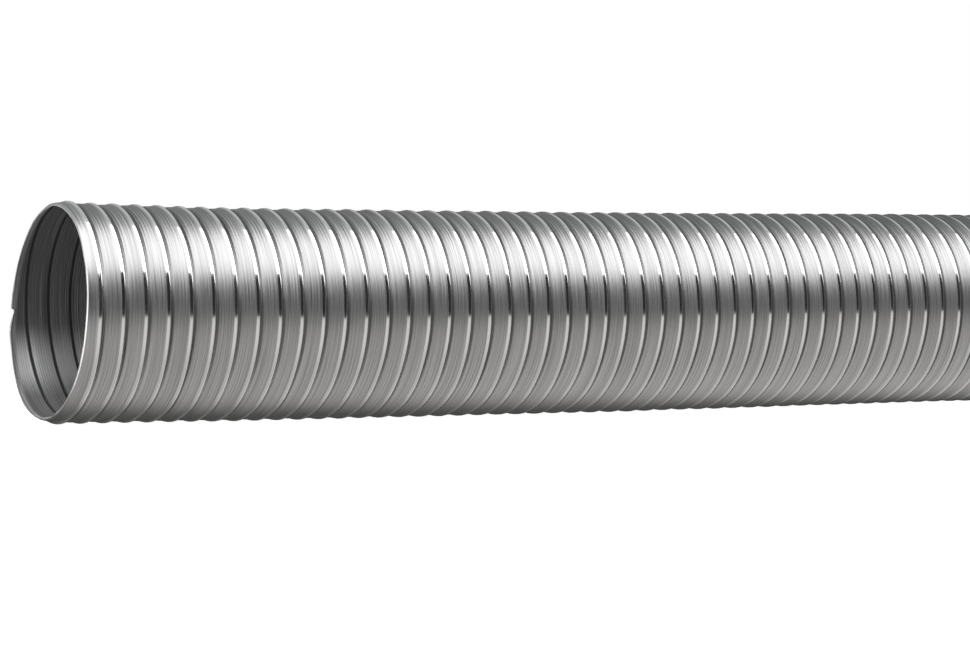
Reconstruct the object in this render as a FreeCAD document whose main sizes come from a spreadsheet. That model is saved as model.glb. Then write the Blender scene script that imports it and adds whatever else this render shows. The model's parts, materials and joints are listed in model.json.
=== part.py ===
"""A length of flexible aluminium duct, wound from one strip of metal.

The strip runs round as a left-handed helix. One edge of it is folded into a raised lip, and the next turn
hooks in under that lip. Seen from outside, each turn is a band that climbs gently to its lip and then
drops into the seam, where the next turn begins. The far end is smooth. The bore is round and open from
end to end.

Frame: the duct lies along X, its mouth towards -X, its lips resting on Z = 0, its middle over the origin.
All sizes are in millimetres, apart from the one angle, which is in degrees.
"""
import FreeCAD, Part
import Sketcher
import math
import os

Vector = FreeCAD.Vector
Rotation = FreeCAD.Rotation

DRIVING_SIZES = [
    ("bore_diameter", 100, "inside of the duct, which slips over a round spigot"),
    ("duct_length", 550, "foremost point of the mouth to the far end"),
    ("smooth_end", 80, "length at the far end that has no turns"),
    ("wall", 0.5, "metal between the bore and the foot of the seam"),
    ("lip_height", 1, "foot of the seam to the top of the lip"),
    ("turn_pitch", 11.3, "one lip to the next, along the duct"),
    ("seam_width", 2, "top of a lip to the foot of the seam, along the duct"),
    ("first_lip", 8.8, "foremost point of the mouth to the first lip, measured on the -Y side"),
    ("cut_angle", 3.1, "degrees that the mouth is cut out of square, its top set back"),
    ("nick_width", 11, "height of the torn place in the rim, on the +Y side"),
    ("nick_depth", 2, "how far the tear goes in from the rim"),
    ("nick_rise", 3, "axis up to the top of the tear"),
    ("overshoot", 1, "how far a cutting shape stands past the metal"),
]

DERIVED_SIZES = [
    ("bore_radius", "=bore_diameter / 2", "inner wall"),
    ("foot_radius", "=bore_radius + wall", "foot of the seam, the smallest outside radius"),
    ("lip_radius", "=foot_radius + lip_height", "top of the lips, the largest outside radius"),
    ("smooth_radius", "=bore_radius + wall * 0.6", "outside of the smooth end, under the foot of the seam"),
    ("blank_radius", "=lip_radius + overshoot", "plain tube that the winding is cut from"),
    ("wound_length", "=duct_length - smooth_end", "foremost point of the mouth to the end of the turns"),
    ("cut_top", "=blank_radius + overshoot", "top of the slanting cut, above the plain tube"),
    ("cut_set_back", "=(lip_radius + cut_top) * tan(cut_angle)", "how far the cut leans back up to there"),
    ("nick_rim", "=(lip_radius + nick_rise) * tan(cut_angle)", "the rim beside the top of the tear"),
]

doc = FreeCAD.newDocument("flexible_duct")


def make_sheet():
    """The sheet of sizes: what each one is, its value or formula, and its name."""
    sizes = doc.addObject("Spreadsheet::Sheet", "sizes")
    for row, (name, value, meaning) in enumerate(DRIVING_SIZES + DERIVED_SIZES, start=1):
        sizes.set(f"A{row}", meaning)
        sizes.set(f"B{row}", str(value))
        sizes.setAlias(f"B{row}", name)
    doc.recompute()
    return sizes


sheet = make_sheet()


def value_of(formula):
    """What a formula in sheet names comes to, as a plain number."""
    return float(sheet.evalExpression(formula))


def origin_plane(body, role):
    """One of the body's own three planes."""
    return next(plane for plane in body.Origin.OriginFeatures if plane.Role == role)


def hold_corner(sketch, line, direction, formula):
    """Bind the start of a line to its distance from the sketch's origin, along one direction."""
    value = value_of(formula)
    if value < 0:
        distance = Sketcher.Constraint(direction, line, 1, -1, 1, -value)
        formula = f"-({formula})"
    else:
        distance = Sketcher.Constraint(direction, -1, 1, line, 1, value)
    index = sketch.addConstraint(distance)
    if formula != "0":
        sketch.setExpression(f"Constraints[{index}]", formula)


def side_outline(body, name, corners):
    """A closed outline in the upright plane along the axis, each corner given as its X and Z formulas."""
    sketch = body.newObject("Sketcher::SketchObject", name)
    sketch.AttachmentSupport = [(origin_plane(body, "XZ_Plane"), "")]
    sketch.MapMode = "FlatFace"
    points = [Vector(value_of(x), value_of(z), 0) for x, z in corners]
    for start, end in zip(points, points[1:] + points[:1]):
        sketch.addGeometry(Part.LineSegment(start, end))
    for line, (x, z) in enumerate(corners):
        following = (line + 1) % len(corners)
        sketch.addConstraint(Sketcher.Constraint("Coincident", line, 2, following, 1))
        hold_corner(sketch, line, "DistanceX", x)
        hold_corner(sketch, line, "DistanceY", z)
    doc.recompute()
    return sketch


def cut_pocket(body, sketch, name, both_sides):
    """Cut an outline through the wall, either right across or only towards +Y."""
    before = body.Shape.Volume
    pocket = body.newObject("PartDesign::Pocket", name)
    pocket.Profile = sketch
    pocket.Type = "ThroughAll"
    pocket.SideType = "Symmetric" if both_sides else "One side"
    doc.recompute()
    if not pocket.Shape.Volume < before:
        raise RuntimeError(f"{name} removed nothing")
    return pocket


def make_plain_tube():
    """The tube before it is given its turns, with the mouth cut out of square and its rim torn."""
    body = doc.addObject("PartDesign::Body", "plain_tube")
    wall = side_outline(body, "wall_outline", [
        ("0", "sizes.bore_radius"),
        ("sizes.duct_length", "sizes.bore_radius"),
        ("sizes.duct_length", "sizes.smooth_radius"),
        ("sizes.wound_length", "sizes.smooth_radius"),
        ("sizes.wound_length", "sizes.blank_radius"),
        ("0", "sizes.blank_radius"),
    ])
    tube = body.newObject("PartDesign::Revolution", "tube")
    tube.Profile = wall
    tube.ReferenceAxis = (wall, ["H_Axis"])
    tube.Angle = 360
    doc.recompute()

    # The slanting cut passes through the lowest point of the mouth.
    mouth = side_outline(body, "mouth_outline", [
        ("0", "-sizes.lip_radius"),
        ("sizes.cut_set_back", "sizes.cut_top"),
        ("0", "sizes.cut_top"),
    ])
    cut_pocket(body, mouth, "mouth_cut", both_sides=True)

    # The tear is deepest at its top and runs out to the rim at its foot.
    tear = side_outline(body, "tear_outline", [
        ("0", "sizes.nick_rise"),
        ("0", "sizes.nick_rise - sizes.nick_width"),
        ("sizes.nick_rim", "sizes.nick_rise - sizes.nick_width"),
        ("sizes.nick_rim + sizes.nick_depth", "sizes.nick_rise"),
    ])
    cut_pocket(body, tear, "rim_tear", both_sides=False)
    return body


def helix_turns(radius, start, turns):
    """A left-handed helix about Z, as one edge for each turn."""
    line = Part.makeLongHelix(sheet.turn_pitch, sheet.turn_pitch * turns, radius, 0, True)
    line.translate(Vector(0, 0, start))
    return line.Edges


def winding_surface(start, turns):
    """The stepped outside of the winding: down a flank from each lip, then up the band to the next lip."""
    lips = helix_turns(sheet.lip_radius, start, turns)
    feet = helix_turns(sheet.foot_radius, start + sheet.seam_width, turns)
    next_lips = helix_turns(sheet.lip_radius, start + sheet.turn_pitch, turns)
    flanks = [Part.makeRuledSurface(lip, foot) for lip, foot in zip(lips, feet)]
    bands = [Part.makeRuledSurface(foot, lip) for foot, lip in zip(feet, next_lips)]
    surface = Part.makeCompound(flanks + bands)
    surface.sewShape()
    return surface


def make_outside_waste():
    """All that lies outside the winding, from in front of the mouth to the smooth end.

    Neighbouring turns share the line along the top of the lip, so no swept profile can cut them one by
    one. A sleeve is split by the whole surface at once, and its outer piece is kept.
    """
    turns_before = math.ceil((sheet.first_lip + sheet.overshoot) / sheet.turn_pitch) + 1
    turns_after = math.ceil(sheet.wound_length / sheet.turn_pitch) + 1
    start = sheet.first_lip - turns_before * sheet.turn_pitch
    surface = winding_surface(start, turns_before + turns_after)

    sleeve_start = Vector(0, 0, -sheet.overshoot)
    sleeve_length = sheet.wound_length + sheet.overshoot
    outer = Part.makeCylinder(sheet.cut_top, sleeve_length, sleeve_start)
    inner = Part.makeCylinder(sheet.foot_radius - sheet.wall / 2, sleeve_length, sleeve_start)
    pieces, _ = outer.cut(inner).generalFuse([surface])
    outside = max(pieces.Solids, key=lambda piece: piece.BoundBox.XLength)

    # Laid along X, with the helix starting on the -Y side.
    lay_down = Rotation(Vector(0, 1, 0), 90).multiply(Rotation(Vector(0, 0, 1), -90))
    waste = doc.addObject("Part::Feature", "outside_waste")
    waste.Shape = outside
    waste.Placement = FreeCAD.Placement(Vector(0, 0, 0), lay_down)
    return waste


def make_duct():
    """The wound strip as one piece: the plain tube, less what lies outside the winding."""
    duct = doc.addObject("Part::Cut", "duct")
    duct.Label = "duct"
    duct.Base = make_plain_tube()
    duct.Tool = make_outside_waste()
    duct.setExpression("Placement.Base.x", "-sizes.duct_length / 2")
    duct.setExpression("Placement.Base.z", "sizes.lip_radius")
    doc.recompute()
    return duct


def check_document(sub_parts):
    """Stop if any object failed, or if a sub-part isn't one sound solid."""
    for item in doc.Objects:
        if {"Invalid", "Error"} & set(item.State):
            raise RuntimeError(f"{item.Name} failed: {item.State}")
    for sub_part in sub_parts:
        shape = sub_part.Shape
        if shape.isNull() or not shape.isValid() or len(shape.Solids) != 1:
            raise RuntimeError(f"{sub_part.Label} is not one sound solid")


def write_parts(sub_parts):
    """One file for each sub-part, named by its label."""
    os.makedirs("parts", exist_ok=True)
    for sub_part in sub_parts:
        sub_part.Shape.exportStep(f"parts/{sub_part.Label}.step")
        print(f"{sub_part.Label}: {len(sub_part.Shape.Faces)} faces, {sub_part.Shape.Volume / 1000:.1f} cm3")


sub_parts = [make_duct()]
check_document(sub_parts)
write_parts(sub_parts)
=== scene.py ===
# %% [markdown]
# # A flexible aluminium duct, wound from one strip
#
# The object is a length of ventilation duct. One long strip of thin aluminium is wound into a tube, like
# a bandage round a finger. One edge of the strip is folded up into a small lip, and the next turn hooks in
# under it, so a raised lip with a narrow groove beside it runs round the tube as a screw thread does.
#
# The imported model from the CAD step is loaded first. It gives the place and size of everything, so no
# length below is measured again: it is read from that model or worked out from it.

# %% Load the frame
import json
import math

import bpy
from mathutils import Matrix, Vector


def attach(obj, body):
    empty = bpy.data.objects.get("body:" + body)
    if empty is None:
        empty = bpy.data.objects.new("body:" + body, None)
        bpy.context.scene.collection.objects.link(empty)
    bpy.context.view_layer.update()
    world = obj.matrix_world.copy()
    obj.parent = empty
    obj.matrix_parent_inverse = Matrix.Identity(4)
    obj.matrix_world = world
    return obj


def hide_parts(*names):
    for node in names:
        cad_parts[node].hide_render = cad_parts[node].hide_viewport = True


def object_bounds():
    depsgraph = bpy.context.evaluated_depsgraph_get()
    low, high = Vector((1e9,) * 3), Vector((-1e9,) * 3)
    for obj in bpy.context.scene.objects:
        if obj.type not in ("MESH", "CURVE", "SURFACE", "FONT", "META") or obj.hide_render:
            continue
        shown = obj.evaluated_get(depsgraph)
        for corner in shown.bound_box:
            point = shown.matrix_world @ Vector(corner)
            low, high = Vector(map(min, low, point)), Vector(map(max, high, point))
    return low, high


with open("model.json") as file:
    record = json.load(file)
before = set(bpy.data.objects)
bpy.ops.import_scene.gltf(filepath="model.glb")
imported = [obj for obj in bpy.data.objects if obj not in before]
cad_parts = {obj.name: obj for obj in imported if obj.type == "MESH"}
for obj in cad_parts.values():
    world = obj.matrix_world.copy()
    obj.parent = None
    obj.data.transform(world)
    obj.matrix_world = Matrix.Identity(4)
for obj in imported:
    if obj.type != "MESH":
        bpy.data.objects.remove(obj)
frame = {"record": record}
cad_box = [list(corner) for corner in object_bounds()]
print("CAD box in metres:", cad_box)

# %% [markdown]
# ## Sizes
#
# The duct lies along X with its mouth at the low end, and rests on the floor. Half of the height of its
# box is the radius at the top of the lips, and that radius is also the height of its axis. The few
# sizes that the box can't give are those of the strip itself.

# %% Sizes of the duct
MM = 0.001
mouth, far_end = cad_box[0][0], cad_box[1][0]
lip_radius = cad_box[1][2] / 2
axis_height = lip_radius
bore_radius = frame["record"]["mounts"][0]["dims"]["r_mm"] * MM

turn_pitch = 11.3 * MM
first_lip = mouth + 8.8 * MM
cut_angle = math.radians(3.1)
print(f"lips at radius {lip_radius / MM:.2f} mm, bore {bore_radius / MM:.1f} mm, "
      f"{(far_end - mouth) / turn_pitch:.1f} turns in {(far_end - mouth) / MM:.0f} mm")

# %% [markdown]
# ## Two helpers
#
# Almost every tool acts on what is selected, and the loaded model comes in selected. So the work on a new
# piece starts by deselecting everything. In edit mode, points or faces are then picked by where they are.

# %% Helpers for selecting
def start_fresh():
    """Leave nothing selected, in object mode."""
    if bpy.context.object and bpy.context.object.mode == "EDIT":
        bpy.ops.object.mode_set(mode="OBJECT")
    bpy.ops.object.select_all(action="DESELECT")


def select_faces(piece, wanted):
    """Go to edit mode with just the faces selected whose middle passes the test."""
    bpy.ops.object.mode_set(mode="EDIT")
    bpy.ops.mesh.select_mode(type="FACE")
    bpy.ops.mesh.select_all(action="DESELECT")
    bpy.ops.object.mode_set(mode="OBJECT")
    for face in piece.data.polygons:
        face.select = wanted(face.center)
    bpy.ops.object.mode_set(mode="EDIT")


start_fresh()
print("nothing is selected")

# %% [markdown]
# ## One turn of the strip, in section
#
# A screw thread could be built by bending a long flat strip, or by copying a ring. Neither gives one
# unbroken sheet. The plain way is to draw the strip's section once, as a bent line as long as one turn is
# wide, and to let the Screw modifier wind it. The line is drawn as by hand: one point is placed, and then
# extruded again and again. Each step says how far it goes along the duct and how far it rises.
#
# In the seam the strip lies in several layers, so the duct isn't the same shape inside as outside. Outside,
# each turn climbs to its lip and drops into a groove. Inside, the layers show as a smooth band with one
# narrow gap, some four millimetres before each lip. So there are two lines, one for each side of the wall.

# %% Draw both sides of the strip
OUTSIDE_STEPS = [
    (0.20, -0.04),
    (0.45, -0.20),
    (0.55, -0.28),
    (0.55, -0.24),
    (0.55, -0.15),
    (0.50, -0.07),
    (0.50, -0.02),
    (1.00, 0.10),
    (2.00, 0.20),
    (3.25, 0.11),
    (0.30, 0.06),
    (0.35, 0.17),
    (0.35, 0.19),
    (0.35, 0.13),
    (0.25, 0.04),
    (0.15, 0.00),
]
INSIDE_STEPS = [
    (0.20, 0.42),
    (1.15, 0.00),
    (0.25, -0.42),
    (1.00, -0.05),
    (3.80, -0.02),
    (3.80, 0.04),
    (1.10, 0.03),
]
gap_before_lip = 4.6 * MM
turns_before_mouth = 2
section_start = first_lip - turns_before_mouth * turn_pitch


def draw_section(name, start, radius, steps):
    """A bent line one turn long, drawn on the side that faces the viewer by extruding one point."""
    start_fresh()
    bpy.ops.mesh.primitive_plane_add(size=MM, location=(start, 0, axis_height))
    line = bpy.context.object
    line.name = name
    bpy.ops.object.mode_set(mode="EDIT")
    bpy.ops.mesh.merge(type="CENTER")
    bpy.ops.transform.translate(value=(0, -radius, 0))
    for along, rise in steps:
        step = (along * MM, -rise * MM, 0)
        bpy.ops.mesh.extrude_vertices_move(TRANSFORM_OT_translate={"value": step})
    bpy.ops.object.mode_set(mode="OBJECT")
    print(f"{name}: {len(line.data.vertices)} points, {sum(along for along, _ in steps):.2f} mm long")
    return line


duct = draw_section("wound_duct", section_start, lip_radius, OUTSIDE_STEPS)
lining = draw_section("inner_side", section_start - gap_before_lip, bore_radius + 0.1 * MM, INSIDE_STEPS)

# %% [markdown]
# ## Winding the strip
#
# The Screw modifier turns the section about the duct's axis and moves it on by one pitch a turn. This duct
# is wound left-handed: on the side that faces the viewer, a lip drifts away from the mouth as it climbs.
# The winding starts before the mouth and ends past the far end, so that both can be cut clean.

# %% Wind both sides
STEPS_PER_TURN = 72
turns = math.ceil((far_end - section_start) / turn_pitch) + 2


def wind(line):
    """Wind a section about the axis into a tube, with the meeting edges of its turns merged."""
    winding = line.modifiers.new("winding", "SCREW")
    winding.axis = "X"
    winding.angle = -math.tau
    winding.screw_offset = turn_pitch
    winding.iterations = turns
    winding.steps = STEPS_PER_TURN
    winding.render_steps = STEPS_PER_TURN
    winding.use_merge_vertices = True
    winding.merge_threshold = 0.01 * MM
    start_fresh()
    line.select_set(True)
    bpy.context.view_layer.objects.active = line
    bpy.ops.object.modifier_apply(modifier=winding.name)
    bpy.ops.object.transform_apply(location=True, rotation=True, scale=True)
    bpy.ops.object.mode_set(mode="EDIT")
    bpy.ops.mesh.select_all(action="SELECT")
    bpy.ops.mesh.remove_doubles(threshold=0.02 * MM)
    bpy.ops.object.mode_set(mode="OBJECT")
    print(f"{line.name}: {turns} turns, {len(line.data.polygons)} faces")


wind(duct)
wind(lining)

# %% [markdown]
# ## Remembering where each point was
#
# The tube is now perfectly even, and the next steps will push, bend and dent it. The marks in the metal must
# stay on the strip meanwhile, so the even place of every point is written down first, as an attribute of the
# mesh, and the materials read that instead of the place in space. Points that later cuts add get a value in
# between, by themselves.

# %% Note the even place of every point
def note_places(piece):
    """Write down where each point of a piece is now."""
    even_place = piece.data.attributes.new("even_place", "FLOAT_VECTOR", "POINT")
    for point, note in zip(piece.data.vertices, even_place.data):
        note.vector = point.co
    print(f"{piece.name}: {len(even_place.data)} places noted")


note_places(duct)
note_places(lining)

# %% [markdown]
# ## Turns pushed together
#
# A flexible duct is never pulled out evenly. Towards its far end the turns of this one stand a little closer.
# Proportional editing does that in one step: only the last faces are selected and moved, and the rest
# follows less and less, up to a chosen distance.

# %% Push the far turns together
def soft_edit(piece, wanted, reach, growth=1.0, move=(0, 0, 0)):
    """Scale the chosen faces about the axis and move them, while the others follow less and less."""
    start_fresh()
    piece.select_set(True)
    bpy.context.view_layer.objects.active = piece
    select_faces(piece, wanted)
    soft = {"use_proportional_edit": True, "proportional_edit_falloff": "SMOOTH", "proportional_size": reach}
    bpy.ops.transform.resize(value=(1, growth, growth), center_override=(0, 0, axis_height), **soft)
    bpy.ops.transform.translate(value=move, **soft)
    bpy.ops.object.mode_set(mode="OBJECT")


def past_the_far_end(middle):
    """Whether a face is one of the last, which are cut off later."""
    return middle.x > far_end + 5 * MM


pushed_together = 7.5 * MM
for side_of_wall in (duct, lining):
    soft_edit(side_of_wall, past_the_far_end, 400 * MM, move=(-pushed_together, 0, 0))
print("wound length, mm:", round(max(point.co.x for point in duct.data.vertices) / MM - mouth / MM, 1))

# %% [markdown]
# ## Cutting the mouth and the far end
#
# The real duct was cut from a longer one with shears, a little out of square: the top of the mouth stands
# back from its foot. Bisect with one side cleared does the same. The far end lies past the edge of the
# picture and is cut square. On the hidden side of the mouth the rim is torn for about a centimetre, so only
# the faces there are cut a second time, along a line that runs in from the rim.

# %% Cut both ends
RIM_STEPS = [(0.30, -0.03), (0.30, -0.10), (0.25, -0.20), (0.15, -0.25), (0.00, -0.15), (-0.10, -0.05)]
rim_roll = sum(forward for forward, _ in RIM_STEPS if forward > 0) * MM
lean = math.tan(cut_angle)


def rim_x(height):
    """Where the cut passes at a height above the floor, with room left for the turned rim."""
    return mouth - 0.5 * MM + rim_roll + height * lean


def cut_ends(piece):
    """Cut a tube at the mouth's slanting plane and at the far end."""
    select_faces(piece, lambda middle: True)
    bpy.ops.mesh.bisect(plane_co=(rim_x(0), 0, 0), plane_no=(1, 0, -lean), clear_inner=True)
    bpy.ops.mesh.select_all(action="SELECT")
    bpy.ops.mesh.bisect(plane_co=(far_end, 0, 0), plane_no=(1, 0, 0), clear_outer=True)
    bpy.ops.object.mode_set(mode="OBJECT")


def tear_rim(piece, foot, top, depth):
    """Cut a slanting piece out of the rim on the +Y side, deepest at its top."""
    behind = rim_x(top) + 2 * depth
    select_faces(piece, lambda middle: middle.x < behind and middle.y > 0
                 and foot - 6 * MM < middle.z < top + 6 * MM)
    bpy.ops.mesh.subdivide(number_cuts=3)
    select_faces(piece, lambda middle: middle.x < behind and middle.y > 0 and foot < middle.z < top)
    slope = (depth + rim_x(top) - rim_x(foot)) / (top - foot)
    bpy.ops.mesh.bisect(plane_co=(rim_x(foot), 0, foot), plane_no=(1, 0, -slope), clear_inner=True)
    bpy.ops.object.mode_set(mode="OBJECT")


tear_foot, tear_top, tear_depth = axis_height - 7 * MM, axis_height + 1 * MM, 1.3 * MM
for side_of_wall in (duct, lining):
    start_fresh()
    side_of_wall.select_set(True)
    bpy.context.view_layer.objects.active = side_of_wall
    cut_ends(side_of_wall)
    tear_rim(side_of_wall, tear_foot, tear_top, tear_depth)
    print(side_of_wall.name, "points after the cuts:", len(side_of_wall.data.vertices))

# %% [markdown]
# ## A turned rim
#
# Shears never leave thin metal flat: over its last millimetre the wall curls a little towards the inside.
# The edges of the rim are the only ones at the mouth with a face on one side alone, so the tool that selects
# borders finds them. They are then extruded step by step, forward and inwards, in the same way on both sides
# of the wall. So both borders end in one plane and stay a wall's thickness apart.

# %% Turn the rim in
def select_border(piece, wanted):
    """Select the border edges of a sheet whose ends pass the test, and go to edit mode."""
    bpy.ops.object.mode_set(mode="EDIT")
    bpy.ops.mesh.select_mode(type="EDGE")
    bpy.ops.mesh.select_all(action="DESELECT")
    bpy.ops.mesh.select_non_manifold(extend=False, use_wire=False, use_boundary=True, use_multi_face=False,
                                     use_non_contiguous=False, use_verts=False)
    bpy.ops.object.mode_set(mode="OBJECT")
    points = piece.data.vertices
    border = [edge for edge in piece.data.edges
              if edge.select and all(wanted(points[index].co) for index in edge.vertices)]
    for item in list(points) + list(piece.data.edges):
        item.select = False
    for edge in border:
        edge.select = True
        for index in edge.vertices:
            points[index].select = True
    print("border edges:", len(border))
    bpy.ops.object.mode_set(mode="EDIT")


def in_first_turn(place):
    """Whether a point lies within one turn of the mouth."""
    return place.x < mouth + turn_pitch


middle_of_bands = lip_radius - 0.5 * MM
for side_of_wall, radius in ((duct, middle_of_bands), (lining, bore_radius)):
    start_fresh()
    side_of_wall.select_set(True)
    bpy.context.view_layer.objects.active = side_of_wall
    select_border(side_of_wall, in_first_turn)
    for forward, outward in RIM_STEPS:
        bpy.ops.mesh.extrude_edges_move(TRANSFORM_OT_translate={"value": (-forward * MM, 0, 0)})
        growth = 1 + outward * MM / radius
        bpy.ops.transform.resize(value=(1, growth, growth), center_override=(mouth, 0, axis_height))
        radius += outward * MM
    bpy.ops.object.mode_set(mode="OBJECT")
print("foremost point of the rim, mm:", round(min(point.co.x for point in duct.data.vertices) / MM, 2))

# %% [markdown]
# ## One wall from two sides
#
# Both sides are still open tubes, one inside the other. They are joined into one object, and at each end the
# Fill tool closes the ring between the two borders. The wall is now one closed sheet of metal, as the wound
# strip is, and the last line below counts no open edge. The tool leaves its new ring selected, so the rim of
# the mouth is shaken right away by a few tenths of a millimetre, since shears never cut a true line. Each
# side keeps its own finish, as rubbing reaches them differently and their painted light and shade differ, so
# each gets a material slot before they are joined.

# %% Join and close the wall
aluminium = bpy.data.materials.new("rolled_aluminium")
inside = bpy.data.materials.new("inside_aluminium")
duct.data.materials.append(aluminium)
lining.data.materials.append(inside)

start_fresh()
lining.select_set(True)
duct.select_set(True)
bpy.context.view_layer.objects.active = duct
bpy.ops.object.join()
select_border(duct, lambda place: place.x > far_end - 1 * MM)
bpy.ops.mesh.fill()
bpy.ops.object.mode_set(mode="OBJECT")
select_border(duct, in_first_turn)
bpy.ops.mesh.fill()
raggedness = 0.25 * MM
bpy.ops.transform.vertex_random(offset=raggedness, seed=7)
bpy.ops.mesh.select_all(action="SELECT")
bpy.ops.mesh.normals_make_consistent(inside=False)
bpy.ops.object.mode_set(mode="OBJECT")
select_border(duct, lambda place: True)
bpy.ops.object.mode_set(mode="OBJECT")

# %% [markdown]
# ## A mouth that was opened, and a slight bow
#
# A duct that was stretched and pressed together again is never of one width, and this one measures about
# half a percent over its nominal size, so it is first scaled by that much, from the floor up. The mouth has
# been pushed over spigots: it opens out a little over its last few centimetres, and the very edge is drawn in
# again. At two places the rim was bent by a knock, up at the top and outwards low on the far side. The whole
# duct also has a slight bow: its middle lies on the floor, and both ends stand a millimetre or so off it.
# Proportional editing does each of these in one step too.

# %% Open the mouth, draw in its edge and lift both ends
def by_the_mouth(middle):
    """Whether a face lies within the last millimetres before the cut."""
    return middle.x < rim_x(middle.z) + 6 * MM


def at_the_edge(middle):
    """Whether a face belongs to the very edge of the mouth."""
    return middle.x < rim_x(middle.z) + 0.3 * MM


def at_the_top(middle):
    """Whether a face of the edge lies where a knock bent it up."""
    return at_the_edge(middle) and middle.z > axis_height + 40 * MM and -30 * MM < middle.y < 0


def low_on_the_far_side(middle):
    """Whether a face of the edge lies where a knock bent it outwards."""
    return at_the_edge(middle) and middle.y > 20 * MM and -40 * MM < middle.z - axis_height < -14 * MM


def at_the_far_end(middle):
    """Whether a face lies at the far end."""
    return middle.x > far_end - 2 * MM


whole_growth = 1.006
select_faces(duct, lambda middle: True)
bpy.ops.transform.resize(value=(1, whole_growth, whole_growth), center_override=(0, 0, 0))
bpy.ops.object.mode_set(mode="OBJECT")
soft_edit(duct, by_the_mouth, 60 * MM, growth=1.010)
soft_edit(duct, by_the_mouth, 95 * MM, move=(0, 0, 1.1 * MM))
soft_edit(duct, at_the_edge, 5 * MM, growth=0.985, move=(0, 0, 0.3 * MM))
soft_edit(duct, at_the_top, 16 * MM, move=(0, -0.3 * MM, 0.9 * MM))
soft_edit(duct, low_on_the_far_side, 20 * MM, move=(-0.2 * MM, 0.6 * MM, -0.3 * MM))
soft_edit(duct, at_the_far_end, 260 * MM, move=(0, 0, 1.2 * MM))
print("widest radius, mm:", round(max(abs(point.co.y) for point in duct.data.vertices) / MM, 2))

# %% [markdown]
# ## The marks of handling
#
# A Displace modifier with a broad soft noise adds the shallow dents that hands leave. It pushes points up and
# down, and a second one pushes them to the side. A third moves the seams a little along the duct, since no
# two turns are pulled out quite alike.

# %% Dents and uneven turns
def add_unevenness(piece, name, grain, direction, strength):
    """Push the points of a piece to and fro along one axis, by a soft noise of the given grain."""
    noise = bpy.data.textures.new(name, "CLOUDS")
    noise.noise_scale = grain
    noise.noise_depth = 1
    push = piece.modifiers.new(name, "DISPLACE")
    push.texture = noise
    push.texture_coords = "LOCAL"
    push.direction = direction
    push.mid_level = 0.5
    push.strength = strength
    bpy.context.view_layer.objects.active = piece
    bpy.ops.object.modifier_apply(modifier=push.name)


add_unevenness(duct, "uneven_turns", 45 * MM, "X", 1.0 * MM)
add_unevenness(duct, "dents_up_and_down", 30 * MM, "Z", 0.35 * MM)
add_unevenness(duct, "dents_to_the_side", 36 * MM, "Y", 0.35 * MM)

start_fresh()
duct.select_set(True)
bpy.context.view_layer.objects.active = duct
sharpest_rounded_edge = math.radians(38)
bpy.ops.object.shade_smooth_by_angle(angle=sharpest_rounded_edge)
print("triangles:", sum(len(face.vertices) - 2 for face in duct.data.polygons))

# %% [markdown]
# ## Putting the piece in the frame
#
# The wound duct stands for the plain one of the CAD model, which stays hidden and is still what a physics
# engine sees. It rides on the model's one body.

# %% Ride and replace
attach(duct, "root")
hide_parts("duct")
print("the wound duct replaces the CAD duct")

# %% [markdown]
# ## Where a point lies on the strip
#
# The marks in the metal follow the strip, not the tube: fine lines from the rolls run along its length, and
# each turn has its own. So the materials need to know, at each point, how far across the strip it is and how
# far along. Unwinding the helix gives both. The angle round the axis, in turns, is taken from the distance
# along the duct in pitches. The whole part of what is left is the number of the turn, and the rest is the
# place across the strip. This is built once as a node group.

# %% Build the strip position group
def add_node(tree, kind, **settings):
    """A new node, with its settings made."""
    node = tree.nodes.new(kind)
    for setting, value in settings.items():
        setattr(node, setting, value)
    return node


def put(tree, target, source):
    """Feed an input from another node's output, or give it a plain value."""
    if isinstance(source, bpy.types.NodeSocket):
        tree.links.new(source, target)
    else:
        target.default_value = source


def maths(tree, operation, *sources):
    """A Math node fed by outputs or numbers. Returns its output."""
    node = add_node(tree, "ShaderNodeMath", operation=operation)
    for socket, source in zip(node.inputs, sources):
        put(tree, socket, source)
    return node.outputs[0]


def new_group(name, inputs, outputs):
    """A node group with float inputs that have these values, and with float outputs of these names."""
    group = bpy.data.node_groups.new(name, "ShaderNodeTree")
    for label, value in inputs.items():
        socket = group.interface.new_socket(label, in_out="INPUT", socket_type="NodeSocketFloat")
        socket.default_value = value
    for label in outputs:
        group.interface.new_socket(label, in_out="OUTPUT", socket_type="NodeSocketFloat")
    return group, add_node(group, "NodeGroupInput"), add_node(group, "NodeGroupOutput")


def even_place_axes(tree):
    """The node that gives the X, Y and Z of the noted even place."""
    place = add_node(tree, "ShaderNodeAttribute", attribute_type="GEOMETRY", attribute_name="even_place")
    axes = add_node(tree, "ShaderNodeSeparateXYZ")
    put(tree, axes.inputs[0], place.outputs["Vector"])
    return axes


strip_position, given, result = new_group(
    "strip_position",
    {"Pitch": turn_pitch, "First Lip": first_lip, "Axis Height": axis_height},
    ["Across", "Along", "Climb"])
xyz = even_place_axes(strip_position)
climb = maths(strip_position, "SUBTRACT", xyz.outputs["Z"], given.outputs["Axis Height"])
towards_viewer = maths(strip_position, "MULTIPLY", xyz.outputs["Y"], -1.0)
angle = maths(strip_position, "ARCTAN2", climb, towards_viewer)
part_turn = maths(strip_position, "DIVIDE", angle, math.tau)
from_lip = maths(strip_position, "SUBTRACT", xyz.outputs["X"], given.outputs["First Lip"])
pitches = maths(strip_position, "DIVIDE", from_lip, given.outputs["Pitch"])
unwound = maths(strip_position, "SUBTRACT", pitches, part_turn)
turn_number = maths(strip_position, "FLOOR", unwound)
put(strip_position, result.inputs["Climb"], climb)
put(strip_position, result.inputs["Across"], maths(strip_position, "FRACT", unwound))
put(strip_position, result.inputs["Along"], maths(strip_position, "ADD", part_turn, turn_number))
print("nodes in strip_position:", len(strip_position.nodes))

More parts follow.
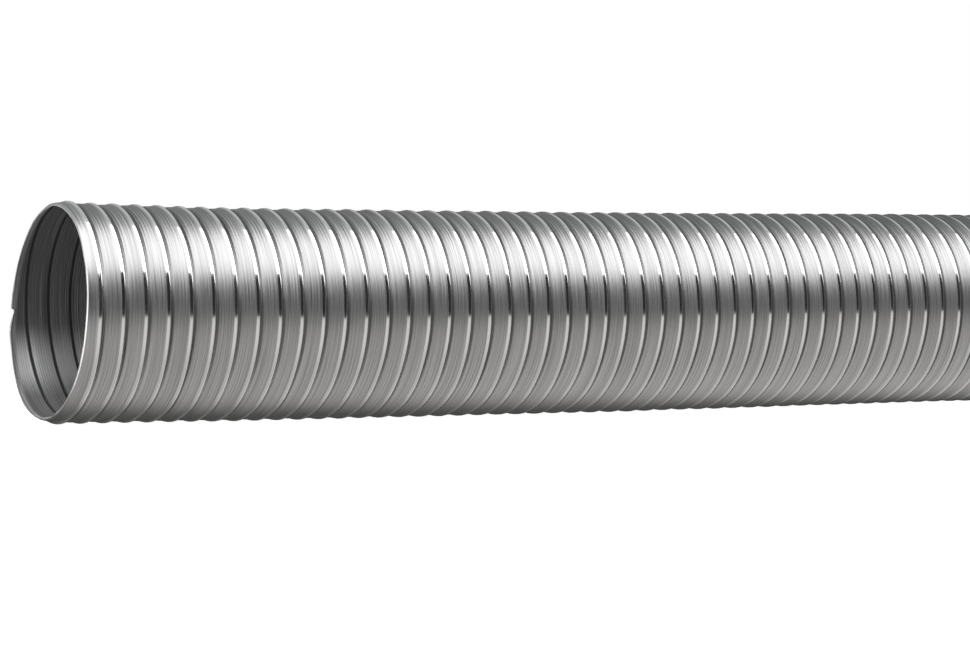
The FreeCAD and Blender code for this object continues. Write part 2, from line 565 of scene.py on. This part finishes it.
# %% [markdown]
# ## Marks of the rolls
#
# The strip was pressed between rolls that left faint ribs along it, seven to a turn on the outside and nine
# finer ones on the inside. It also carries the fine lines that all rolled aluminium has. They are far too
# shallow to model, so a second group turns the place on the strip into a height for the bump, and into a
# streak mask that varies the shine from line to line. The number of ribs and their depth are inputs.

# %% Build the rolled lines group
def strip_noise(tree, across, along, lines_across, patches_along, detail):
    """Noise drawn out along the strip. Returns its value, from 0 to 1."""
    stretched = add_node(tree, "ShaderNodeCombineXYZ")
    put(tree, stretched.inputs["X"], maths(tree, "MULTIPLY", across, lines_across))
    put(tree, stretched.inputs["Y"], maths(tree, "MULTIPLY", along, patches_along))
    noise = add_node(tree, "ShaderNodeTexNoise")
    noise.inputs["Scale"].default_value = 1.0
    noise.inputs["Detail"].default_value = detail
    put(tree, noise.inputs["Vector"], stretched.outputs[0])
    return noise.outputs[0]


rolled_lines, given, result = new_group(
    "rolled_lines",
    {"Across": 0.0, "Along": 0.0, "Rib Count": 7.0, "Rib Height": 1.0, "Line Height": 0.3},
    ["Height", "Streaks"])
across, along = given.outputs["Across"], given.outputs["Along"]
rib_number = maths(rolled_lines, "MULTIPLY", across, given.outputs["Rib Count"])
rib_phase = maths(rolled_lines, "MULTIPLY", rib_number, math.tau)
ribs = maths(rolled_lines, "MULTIPLY", maths(rolled_lines, "COSINE", rib_phase), given.outputs["Rib Height"])
fine = strip_noise(rolled_lines, across, along, 60.0, 9.0, 2.0)
fine_lines = maths(rolled_lines, "MULTIPLY", fine, given.outputs["Line Height"])
put(rolled_lines, result.inputs["Height"], maths(rolled_lines, "ADD", ribs, fine_lines))
put(rolled_lines, result.inputs["Streaks"], strip_noise(rolled_lines, across, along, 22.0, 5.0, 3.0))
print("nodes in rolled_lines:", len(rolled_lines.nodes))

# %% [markdown]
# ## Polished lips, painted shade in the grooves
#
# When the turns were hooked together, rollers pressed the seam shut and polished the lip on the way. The
# bands between kept the dull skin of the mill, and the groove gets painted shade. A third group gives a mask
# for
# each: one on the crest of the lip and one in the groove beside it, with soft borders. Its last mask marks
# the narrow gap that is seen from the inside, which is painted dark as shade.

# %% Build the seam masks group
seam_masks, given, result = new_group("seam_masks", {"Across": 0.0, "Pitch": turn_pitch / MM},
                                      ["Lip", "Groove", "Gap"])


def ramp(tree, value, start, end, low=0.0, high=1.0):
    """From low, where a value is at start, to high at its end, with a soft step between them."""
    node = add_node(tree, "ShaderNodeMapRange", interpolation_type="SMOOTHSTEP")
    for label, source in (("Value", value), ("From Min", start), ("From Max", end), ("To Min", low),
                          ("To Max", high)):
        put(tree, node.inputs[label], source)
    return node.outputs["Result"]


# All limits are in millimetres across the strip, before or past the crest of a lip.
past_crest = maths(seam_masks, "MULTIPLY", given.outputs["Across"], given.outputs["Pitch"])
before_crest = maths(seam_masks, "SUBTRACT", given.outputs["Pitch"], past_crest)
lip_front = ramp(seam_masks, before_crest, 1.15, 1.55, 1.0, 0.0)
lip_back = ramp(seam_masks, past_crest, 0.30, 0.50, 1.0, 0.0)
put(seam_masks, result.inputs["Lip"], maths(seam_masks, "MAXIMUM", lip_front, lip_back))
groove_start = ramp(seam_masks, past_crest, 0.35, 0.60)
groove_end = ramp(seam_masks, past_crest, 1.5, 2.9, 1.0, 0.0)
put(seam_masks, result.inputs["Groove"], maths(seam_masks, "MULTIPLY", groove_start, groove_end))
gap_start = ramp(seam_masks, before_crest, 2.7, 3.1)
gap_end = ramp(seam_masks, before_crest, 4.5, 4.8, 1.0, 0.0)
put(seam_masks, result.inputs["Gap"], maths(seam_masks, "MULTIPLY", gap_start, gap_end))
print("nodes in seam_masks:", len(seam_masks.nodes))

# %% [markdown]
# ## The worn rim
#
# The edge of the mouth has lost its rolled lines to every spigot it was pushed over. A small group measures
# how deep a point lies behind the slanting line of the cut, and marks the rim: 1 at the edge and 0 a few
# millimetres in.

# %% Build the rim mask group
rim_mask, given, result = new_group(
    "rim_mask", {"Edge": rim_x(0), "Lean": lean}, ["Rim", "Depth"])
xyz = even_place_axes(rim_mask)
by_height = maths(rim_mask, "MULTIPLY", xyz.outputs["Z"], given.outputs["Lean"])
edge = maths(rim_mask, "ADD", by_height, given.outputs["Edge"])
from_edge = maths(rim_mask, "SUBTRACT", xyz.outputs["X"], edge)
put(rim_mask, result.inputs["Depth"], from_edge)
put(rim_mask, result.inputs["Rim"], ramp(rim_mask, from_edge, 0.8 * MM, 2.6 * MM, 1.0, 0.0))
print("nodes in rim_mask:", len(rim_mask.nodes))

# %% [markdown]
# ## The aluminium
#
# Bare aluminium is a metal: all of its colour is in what it mirrors. Its look comes from how rough the
# mirror is, and from lines that run one way, which smear a reflection across them and leave it sharp
# along them. The Anisotropic setting of the Principled shader does that, with a tangent that runs round
# the duct's axis. The streak mask makes some lines duller than others. The grooves are darkened as painted
# shade, and here and there, where that mask is high, darker still.

# %% Build the aluminium
def colour_mix(tree, factor, first, second):
    """A mix of two colours, by a factor."""
    node = add_node(tree, "ShaderNodeMix", data_type="RGBA")
    put(tree, node.inputs["Factor"], factor)
    put(tree, node.inputs["A"], first)
    put(tree, node.inputs["B"], second)
    return node.outputs["Result"]


def grey(level):
    """A neutral colour of this level."""
    return (level, level, level, 1)


def start_metal(material, anisotropic, rib_count, rib_height, line_height):
    """Make a material a metal with lines round the duct. Returns its shader, streaks, masks and climb."""
    material.use_nodes = True
    tree = material.node_tree
    metal = tree.nodes["Principled BSDF"]
    metal.inputs["Metallic"].default_value = 1.0
    metal.inputs["Anisotropic"].default_value = anisotropic
    metal.inputs["Anisotropic Rotation"].default_value = 0.25
    where = add_node(tree, "ShaderNodeGroup", node_tree=strip_position)
    lines = add_node(tree, "ShaderNodeGroup", node_tree=rolled_lines)
    seams = add_node(tree, "ShaderNodeGroup", node_tree=seam_masks)
    for group in (lines, seams):
        put(tree, group.inputs["Across"], where.outputs["Across"])
    put(tree, lines.inputs["Along"], where.outputs["Along"])
    put(tree, lines.inputs["Rib Count"], rib_count)
    put(tree, lines.inputs["Rib Height"], rib_height)
    put(tree, lines.inputs["Line Height"], line_height)
    relief = add_node(tree, "ShaderNodeBump")
    relief.inputs["Strength"].default_value = 1.0
    relief.inputs["Distance"].default_value = 0.02 * MM
    put(tree, relief.inputs["Height"], lines.outputs["Height"])
    put(tree, metal.inputs["Normal"], relief.outputs[0])
    round_the_axis = add_node(tree, "ShaderNodeTangent", direction_type="RADIAL", axis="X")
    put(tree, metal.inputs["Tangent"], round_the_axis.outputs[0])
    return metal, ramp(tree, lines.outputs["Streaks"], 0.3, 0.7), seams.outputs, where.outputs["Climb"]


def finish_metal(tree, metal, colour, roughness):
    """Give the shader its colour and roughness, both of them even on the worn rim."""
    rim = add_node(tree, "ShaderNodeGroup", node_tree=rim_mask).outputs["Rim"]
    put(tree, metal.inputs["Base Color"], colour_mix(tree, rim, colour, grey(0.55)))
    smoother = maths(tree, "MULTIPLY", maths(tree, "SUBTRACT", 0.35, roughness), rim)
    put(tree, metal.inputs["Roughness"], maths(tree, "ADD", roughness, smoother))


metal, streaks, seams, _ = start_metal(
    aluminium, anisotropic=0.3, rib_count=7.0, rib_height=1.5, line_height=0.3)
tree = aluminium.node_tree
band = colour_mix(tree, streaks, grey(0.40), grey(0.62))
# Painted shade: the groove mask darkens the grooves to grey 0.42, and to 0.10 where the streak mask is high.
deeper_shade_patches = ramp(tree, streaks, 0.60, 0.90)
shaded_grooves = colour_mix(tree, seams["Groove"], band, colour_mix(tree, deeper_shade_patches, grey(0.42), grey(0.10)))
lip_roughness = maths(tree, "MULTIPLY", seams["Lip"], -0.26)
finish_metal(tree, metal, colour_mix(tree, seams["Lip"], shaded_grooves, grey(0.92)),
             maths(tree, "ADD", ramp(tree, streaks, 0.0, 1.0, 0.36, 0.44), lip_roughness))

# %% [markdown]
# ## The dull inside
#
# Nothing ever rubbed the inside, so it kept a dull oxide skin that is hardly a metal to the eye, with
# stronger lines, and its gaps are painted dark as shade. The upper half is dark. A pale patch of painted
# light lies on the slope below the axis, where light from the mouth falls, and it fades towards the very
# bottom. It is brightest on the first band behind the mouth. Three soft masks, two of the height and one of
# the depth, are multiplied to get that patch.

# %% Build the finish of the inside
metal, streaks, seams, climb = start_metal(
    inside, anisotropic=0.2, rib_count=9.0, rib_height=1.8, line_height=3.0)
metal.inputs["Metallic"].default_value = 0.3
tree = inside.node_tree
depth = add_node(tree, "ShaderNodeGroup", node_tree=rim_mask).outputs["Depth"]
# Painted light: a pale patch on the slope below the axis, where light from the mouth falls, fading towards
# the very bottom and deeper in.
on_the_slope = maths(tree, "MULTIPLY", ramp(tree, climb, -3 * MM, -22 * MM),
                     ramp(tree, climb, -26 * MM, -40 * MM, 1.0, 0.1))
painted_light_patch = maths(tree, "MULTIPLY", on_the_slope, ramp(tree, depth, 9 * MM, 14 * MM, 1.0, 0.5))
band = colour_mix(tree, painted_light_patch, colour_mix(tree, streaks, grey(0.12), grey(0.29)),
                  colour_mix(tree, streaks, grey(0.85), grey(1.0)))
# Painted shade: the narrow gap before each lip is painted near black, grey 0.07.
finish_metal(tree, metal, colour_mix(tree, seams["Gap"], band, grey(0.07)),
             ramp(tree, streaks, 0.0, 1.0, 0.50, 0.60))

print("material slots on the duct:", [slot.name for slot in duct.material_slots])

# %% [markdown]
# ## The studio
#
# Metal shows its surroundings, so they are laid out as a photographer would. The duct lies on pale matt
# paper, which keeps its shadow, and to the camera both paper and background are white. The metal itself
# shows no white paper. In the photograph its underside mirrors a mid-grey table, so the white was evidently
# put in afterwards. That is why mirrored rays pass through the floor here and meet the greys of the room.

# %% Floor
start_fresh()
bpy.ops.mesh.primitive_plane_add(size=8, location=(0, 0, 0))
floor = bpy.context.object
floor.name = "floor"
paper = bpy.data.materials.new("pale_paper")
paper.use_nodes = True
tree = paper.node_tree
matt = tree.nodes["Principled BSDF"]
matt.inputs["Base Color"].default_value = (0.5, 0.49, 0.48, 1)
matt.inputs["Roughness"].default_value = 0.9
seen = add_node(tree, "ShaderNodeLightPath")
white = add_node(tree, "ShaderNodeEmission")
white.inputs["Strength"].default_value = 0.9
for_camera = add_node(tree, "ShaderNodeAddShader")
put(tree, for_camera.inputs[0], matt.outputs[0])
put(tree, for_camera.inputs[1], white.outputs[0])
for_metal = add_node(tree, "ShaderNodeBsdfTransparent")
for_light = add_node(tree, "ShaderNodeMixShader")
put(tree, for_light.inputs["Fac"], seen.outputs["Is Glossy Ray"])
put(tree, for_light.inputs[1], matt.outputs[0])
put(tree, for_light.inputs[2], for_metal.outputs[0])
blend = add_node(tree, "ShaderNodeMixShader")
put(tree, blend.inputs["Fac"], seen.outputs["Is Camera Ray"])
put(tree, blend.inputs[1], for_light.outputs[0])
put(tree, blend.inputs[2], for_camera.outputs[0])
put(tree, tree.nodes["Material Output"].inputs["Surface"], blend.outputs[0])
floor.data.materials.append(paper)
print("floor laid")

# %% [markdown]
# ## The lamp
#
# One large soft lamp hangs over the duct, towards the viewer. It makes the bright belt along the upper side
# of the duct, and since it is broad, the belt has soft borders. The camera doesn't see it.

# %% Lamp
lamp_place = (0.25, -0.41, axis_height + 0.65)
lamp_length, lamp_width = 2.6, 0.76
lamp_watts = 12.0
bpy.ops.object.light_add(type="AREA", location=lamp_place, rotation=(0, 0, math.radians(-10)))
lamp = bpy.context.object
lamp.name = "soft_lamp"
lamp.data.shape = "RECTANGLE"
lamp.data.size = lamp_length
lamp.data.size_y = lamp_width
lamp.data.energy = lamp_watts
lamp.visible_camera = False
print(f"lamp hung: {lamp_length} x {lamp_width} m, {lamp_watts} W")

# %% [markdown]
# ## The room
#
# The rest of what the metal shows comes from the world, as a plain grey for each direction: the table below,
# paler to the right than to the left, a dark room in front above the horizon, which makes the dark belt
# along the side of the duct, and a paler wall behind it. Straight to the left, where the mouth points, there
# is a bright window, which lights the first bands of the inside. The greys are a little warmer below the
# horizon and cooler above, as in the photograph. All of this is for the object alone, and the camera sees a
# white world of strength 1.
#
# Right, away and up are the three parts of a direction, each from -1 to 1. Every line below blends two
# greys along one of them.

# %% Room
room = bpy.data.worlds.new("room")
bpy.context.scene.world = room
room.use_nodes = True
tree = room.node_tree
direction = add_node(tree, "ShaderNodeTexCoord")
axes = add_node(tree, "ShaderNodeSeparateXYZ")
put(tree, axes.inputs[0], direction.outputs["Generated"])


def mixed(factor, first, second):
    """A mix of two greys or outputs, by a factor."""
    node = add_node(tree, "ShaderNodeMix", data_type="FLOAT")
    put(tree, node.inputs["Factor"], factor)
    put(tree, node.inputs["A"], first)
    put(tree, node.inputs["B"], second)
    return node.outputs["Result"]


right, away, up = axes.outputs["X"], axes.outputs["Y"], axes.outputs["Z"]
window = 2.8
table_left = mixed(ramp(tree, up, -0.05, -0.45), 0.10, ramp(tree, up, -0.60, -1.0, 0.42, 0.60))
table_right = mixed(ramp(tree, up, 0.0, -0.25), 0.12, ramp(tree, up, -0.25, -0.85, 0.72, 0.86))
table = mixed(ramp(tree, right, 0.38, 0.54), table_left, table_right)
table = mixed(ramp(tree, away, 0.25, 0.70), table, 0.06)
table = mixed(ramp(tree, right, 0.65, 0.85), table, 0.10)
beside = mixed(ramp(tree, away, 0.0, 0.5), ramp(tree, up, -0.4, -0.9, 0.62, 0.45), 0.15)
low = mixed(ramp(tree, right, 0.0, 0.35), beside, table)
high = mixed(ramp(tree, right, 0.65, 0.85), ramp(tree, right, 0.0, 0.35, 0.02, 0.16), 0.03)
front = mixed(ramp(tree, up, -0.05, -0.02), low, high)
back = mixed(ramp(tree, up, -0.05, 0.05), low, ramp(tree, right, 0.38, 0.20, 0.07, 0.48))
around = mixed(ramp(tree, away, -0.05, 0.15), front, back)
surroundings = mixed(ramp(tree, right, -0.82, -0.74), window, around)
seen = add_node(tree, "ShaderNodeLightPath")
strength = mixed(seen.outputs["Is Camera Ray"], surroundings, 1.0)
warm, cool, pure_white = (1.0, 0.985, 0.965, 1), (0.97, 0.985, 1.0, 1), (1, 1, 1, 1)
tint = colour_mix(tree, ramp(tree, up, -0.1, 0.1), warm, cool)
colour = colour_mix(tree, seen.outputs["Is Camera Ray"], tint, pure_white)
put(tree, tree.nodes["Background"].inputs["Color"], colour)
put(tree, tree.nodes["Background"].inputs["Strength"], strength)
print("nodes in the room:", len(tree.nodes))

# %% [markdown]
# ## The camera
#
# The photograph was taken from in front of the mouth and well to the side, from the height of the duct's
# axis, with a long lens. Its place, heading and lens were worked out from the outline and the seams.

# %% Camera
camera_place = (mouth - 0.4995, -1.332, axis_height + 0.0005)
tilt, roll, heading = 89.80, 0.36, -28.93
bpy.ops.object.camera_add(location=camera_place,
                          rotation=(math.radians(tilt), math.radians(roll), math.radians(heading)))
camera = bpy.context.object
lens_length, film_width = 111.3, 36
camera.data.lens = lens_length
camera.data.sensor_width = film_width
bpy.context.scene.camera = camera
bpy.context.scene.view_settings.view_transform = "Standard"
print("camera at", [round(value, 3) for value in camera.location])
